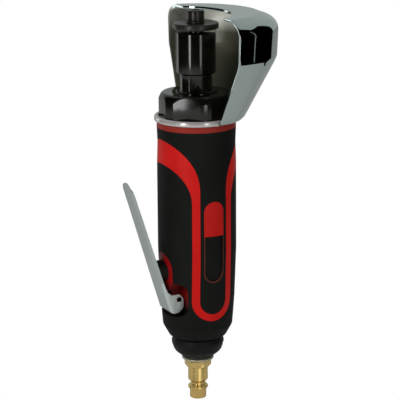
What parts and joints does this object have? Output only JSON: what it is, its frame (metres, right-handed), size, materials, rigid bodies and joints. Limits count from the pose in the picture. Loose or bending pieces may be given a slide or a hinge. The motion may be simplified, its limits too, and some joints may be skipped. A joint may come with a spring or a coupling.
{
  "type": "pneumatic die grinder",
  "caption": "Straight air-driven die grinder in its cut-off form: rubber grip with side lever, black spindle with wheel flange, half guard and quick-connect plug.",
  "frame": {"origin": "centre of the air plug's end face, on the tool's axis", "axes": "+Z along the tool's axis towards the wheel screw, +X towards the side the guard covers, away from the throttle lever, -Y towards the side with the badge"},
  "size_m": [0.0954, 0.0962, 0.238],
  "materials": {
    "housing": "satin",
    "rubber_grip": "matt",
    "badge": "satin",
    "chromed_sheet": "polished",
    "blackened_steel": "black oxide",
    "satin_chrome": "satin",
    "black_plastic": "matt",
    "seal_rubber": "matt",
    "brass": "machined",
    "steel": "ground",
    "felt": "fibrous",
    "aluminium": "machined",
    "phenolic": "matt"
  },
  "bodies": {
    "body": {"motor_housing": "housing", "grip_overmould": "rubber_grip", "badge": "badge", "clamp_nut": "blackened_steel", "lever_pin": "blackened_steel", "valve_bushing": "black_plastic", "valve_o_ring": "seal_rubber", "inlet_bushing": "blackened_steel", "inlet_screen": "steel", "sealing_washer": "steel", "air_plug": "brass", "rear_end_plate": "aluminium", "motor_liner": "steel", "front_end_plate": "aluminium", "front_outer_race": "steel", "rear_outer_race": "steel", "spring_washer": "steel", "bearing_cap": "blackened_steel"},
    "guard": {"wheel_guard": "chromed_sheet"},
    "spindle": {"arbor": "blackened_steel", "outer_flange": "blackened_steel", "lock_washer": "blackened_steel", "clamp_screw": "blackened_steel", "rotor": "steel", "rotor_vanes": "phenolic", "front_inner_race": "steel", "rear_inner_race": "steel"},
    "front_balls": {"front_ball_set": "steel"},
    "rear_balls": {"rear_ball_set": "steel"},
    "lever": {"throttle_lever": "satin_chrome"},
    "valve": {"valve_plunger": "black_plastic", "valve_poppet": "brass", "valve_spring": "steel"},
    "deflector": {"exhaust_deflector": "black_plastic", "muffler_felt": "felt"}
  },
  "joints": [
    {"name": "guard_turn", "type": "hinge", "parent": "body", "child": "guard", "pos_m": [0, 0, 0.174], "axis": [0, 0, 1], "continuous": true},
    {"name": "spindle_spin", "type": "hinge", "parent": "body", "child": "spindle", "pos_m": [0, 0, 0.2], "axis": [0, 0, 1], "continuous": true},
    {"name": "front_balls_roll", "type": "hinge", "parent": "body", "child": "front_balls", "pos_m": [0, 0, 0.164], "axis": [0, 0, 1], "continuous": true},
    {"name": "rear_balls_roll", "type": "hinge", "parent": "body", "child": "rear_balls", "pos_m": [0, 0, 0.0975], "axis": [0, 0, 1], "continuous": true},
    {"name": "lever_press", "type": "hinge", "parent": "body", "child": "lever", "pos_m": [-0.0161, 0, 0.0661], "axis": [0, 1, 0], "range_deg": [0, 12], "stiffness_Nm_per_rad": 1, "springref_deg": -20.05},
    {"name": "valve_slide", "type": "slide", "parent": "body", "child": "valve", "axis": [1, 0, 0], "range_m": [0, 0.00478]},
    {"name": "deflector_turn", "type": "hinge", "parent": "body", "child": "deflector", "pos_m": [0, 0, 0.033], "axis": [0, 0, 1], "continuous": true}
  ],
  "couplings": [
    {"joint": "valve_slide", "follows": "lever_press", "m_per_rad": 0.022823},
    {"joint": "front_balls_roll", "follows": "spindle_spin", "ratio": 0.38},
    {"joint": "rear_balls_roll", "follows": "spindle_spin", "ratio": 0.37333}
  ]
}
